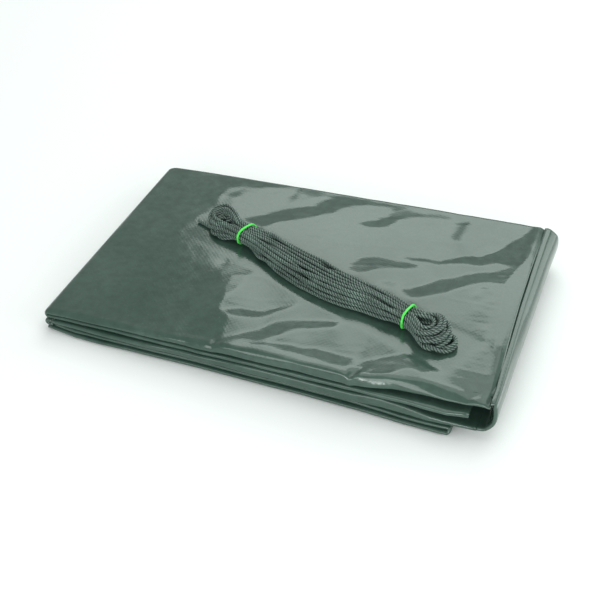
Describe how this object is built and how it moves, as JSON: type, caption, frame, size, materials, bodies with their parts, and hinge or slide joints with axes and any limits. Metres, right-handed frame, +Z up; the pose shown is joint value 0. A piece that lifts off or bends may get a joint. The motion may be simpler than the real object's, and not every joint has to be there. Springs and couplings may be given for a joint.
{
  "type": "folded storage bag with rope hank",
  "caption": "Coated woven storage bag folded flat into a pack, with a tied hank of twisted cord and its elastic bands lying on top.",
  "frame": {"origin": "centre of the folded pack's underside, on the surface that it lies on", "axes": "+X along the folded length towards the open fold, +Y across the width, +Z up"},
  "size_m": [0.42, 0.264, 0.0577],
  "materials": {
    "bag_cloth": "coated tape-woven cloth, soft gloss, creased",
    "twisted_cord": "twisted three-strand synthetic cord, soft sheen",
    "elastic": "bright green elastic, satin"
  },
  "bodies": {
    "lower_fold": {"lower_leaf": "bag_cloth", "lower_right_fold": "bag_cloth", "second_leaf": "bag_cloth"},
    "upper_fold": {"left_fold": "bag_cloth", "third_leaf": "bag_cloth", "right_open_fold": "bag_cloth"},
    "top_flap": {"top_leaf": "bag_cloth", "inner_left_fold": "bag_cloth", "mouth_flap": "bag_cloth"},
    "rope": {"rope_hank": "twisted_cord", "rope_tail": "twisted_cord"},
    "band_left": {"elastic_band_left": "elastic"},
    "band_right": {"elastic_band_right": "elastic"}
  },
  "joints": [
    {"name": "upper_half_unfold", "type": "hinge", "parent": "lower_fold", "child": "upper_fold", "pos_m": [-0.2055, 0, 0.00845], "axis": [0, -1, 0], "range_deg": [0, 120], "deforming": ["left_fold"]},
    {"name": "top_flap_unfold", "type": "hinge", "parent": "upper_fold", "child": "top_flap", "pos_m": [0.2045, 0, 0.0253], "axis": [0, 1, 0], "range_deg": [0, 170], "deforming": ["right_open_fold"]},
    {"name": "rope_lift", "type": "slide", "parent": "top_flap", "child": "rope", "axis": [0, 0, 1], "range_m": [0, 0.12]},
    {"name": "left_band_pull", "type": "slide", "parent": "rope", "child": "band_left", "axis": [-0.9213, 0.3859, -0.0474], "range_m": [0, 0.075], "deforming": ["elastic_band_left"]},
    {"name": "right_band_pull", "type": "slide", "parent": "rope", "child": "band_right", "axis": [0.9213, -0.3859, 0.0474], "range_m": [0, 0.07], "deforming": ["elastic_band_right"]}
  ]
}
